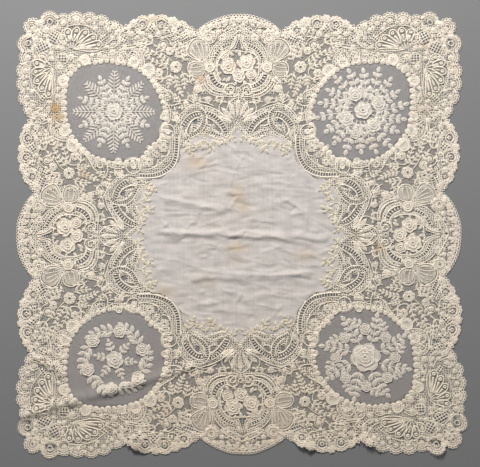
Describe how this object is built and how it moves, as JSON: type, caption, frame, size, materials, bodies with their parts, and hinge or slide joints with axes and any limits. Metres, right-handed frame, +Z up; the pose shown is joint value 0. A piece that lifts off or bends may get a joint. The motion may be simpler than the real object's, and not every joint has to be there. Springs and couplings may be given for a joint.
{
  "type": "lace handkerchief",
  "caption": "Square lace handkerchief lying open: fine linen centre in a deep scalloped needle-lace border with a sheer net medallion in each corner.",
  "frame": {"origin": "middle of the cloth's underside, on the surface that it lies on", "axes": "+Z up through the cloth, +Y towards the upper edge as it is laid out, +X to the right"},
  "size_m": [0.451, 0.446, 0.0063],
  "materials": {
    "linen": "matt fine plain weave",
    "lace": "matt cotton and linen thread",
    "net": "matt sheer net with worked sprays"
  },
  "bodies": {
    "root": {"linen_centre": "linen", "lace_border": "lace", "medallion_ne": "net", "medallion_se": "net", "medallion_sw": "net", "medallion_nw": "net"}
  },
  "joints": []
}
